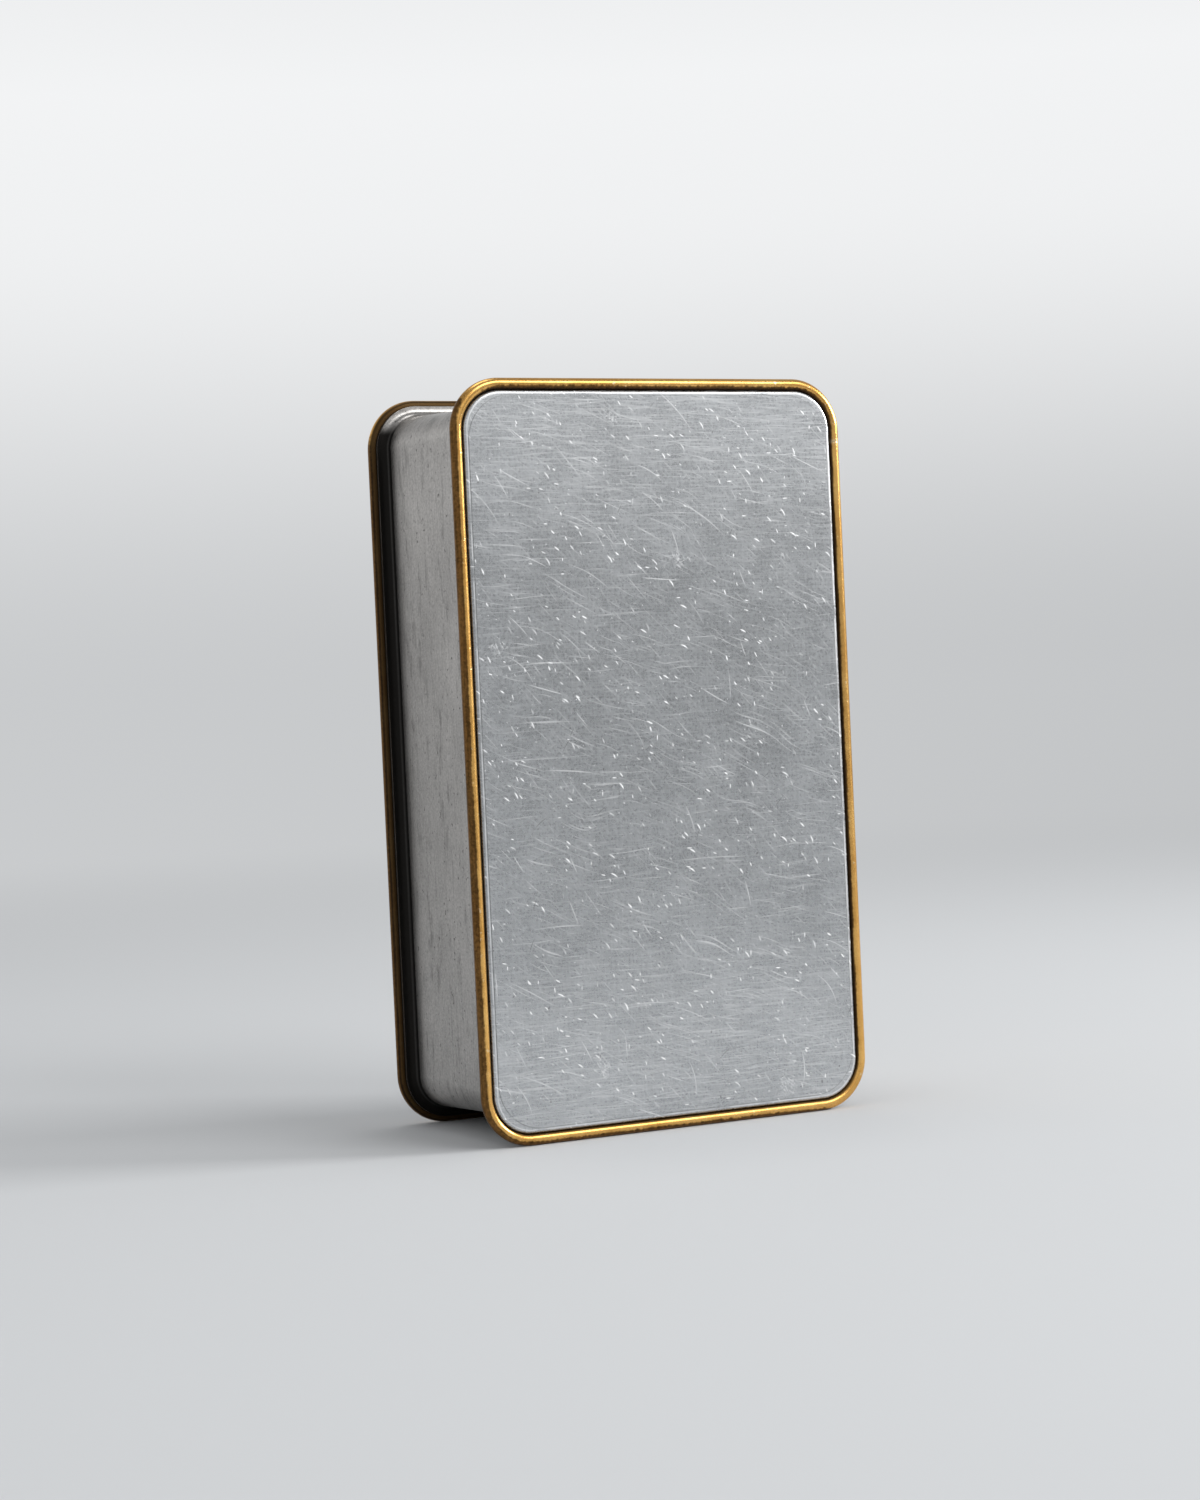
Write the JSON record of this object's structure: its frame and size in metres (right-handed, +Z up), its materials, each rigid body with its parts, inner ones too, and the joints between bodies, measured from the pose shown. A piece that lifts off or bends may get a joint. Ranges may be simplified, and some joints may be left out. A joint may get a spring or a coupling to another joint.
{
  "type": "card game tin",
  "caption": "Shallow rounded tin for playing cards, with dished tinplate faces, brass wire round both, a friction collar and a lid hinged along one long side.",
  "frame": {"origin": "centre of the tin's footprint, on the surface that it stands on, on one short end", "axes": "+Z up along the tin's length, +Y from the lid in front to the base behind, +X towards the hinge"},
  "size_m": [0.0764, 0.0394, 0.132],
  "materials": {
    "tinplate_wall": "grey tinplate with a fine brushed grain along the tin's length, softly worn",
    "tinplate_plate": "grey tinplate, finely brushed and covered in thin random scratches and nicks",
    "tinplate_inner": "bright tinplate that has worn little",
    "brass_wire": "drawn brass wire, browned in the recesses and rubbed bright on the crest",
    "brass_hinge": "satin rolled brass, darker round the knuckles",
    "brass_pin": "polished brass pin with peened ends"
  },
  "bodies": {
    "tin": {"body_wall": "tinplate_wall", "base_plate": "tinplate_plate", "base_wire": "brass_wire", "mouth_collar": "tinplate_inner", "body_leaf": "brass_hinge", "hinge_pin": "brass_pin"},
    "lid": {"lid_band": "tinplate_wall", "lid_plate": "tinplate_plate", "lid_wire": "brass_wire", "lid_leaf": "brass_hinge"}
  },
  "joints": [
    {"name": "lid_hinge", "type": "hinge", "parent": "tin", "child": "lid", "pos_m": [0.0355, -0.01095, 0.066], "axis": [0, 0, 1], "range_deg": [0, 165]}
  ]
}
